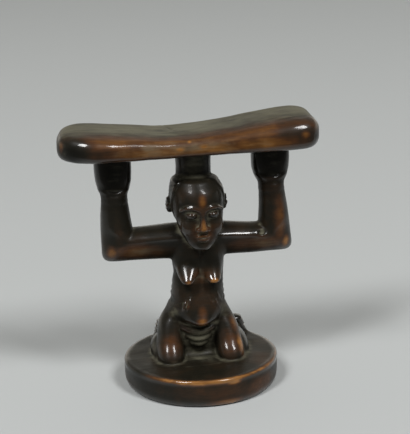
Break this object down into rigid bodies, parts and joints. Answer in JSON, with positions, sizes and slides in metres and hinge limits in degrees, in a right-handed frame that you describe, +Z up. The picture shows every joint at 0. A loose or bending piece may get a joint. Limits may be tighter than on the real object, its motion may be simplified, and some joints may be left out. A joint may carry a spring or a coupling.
{
  "type": "carved headrest",
  "caption": "Carved wooden headrest: a kneeling figure on a round foot holds a curved pillow on its raised hands and crown.",
  "frame": {"origin": "centre of the round foot's flat underside", "axes": "+Z up, +X along the pillow to the right of someone facing the figure, and the figure looks along -Y"},
  "size_m": [0.1536, 0.0934, 0.1615],
  "materials": {
    "carved_wood": "dark oiled and handled patina, glossy, worn to reddish and orange brown on edges"
  },
  "bodies": {
    "root": {"headrest": "carved_wood"}
  },
  "joints": []
}
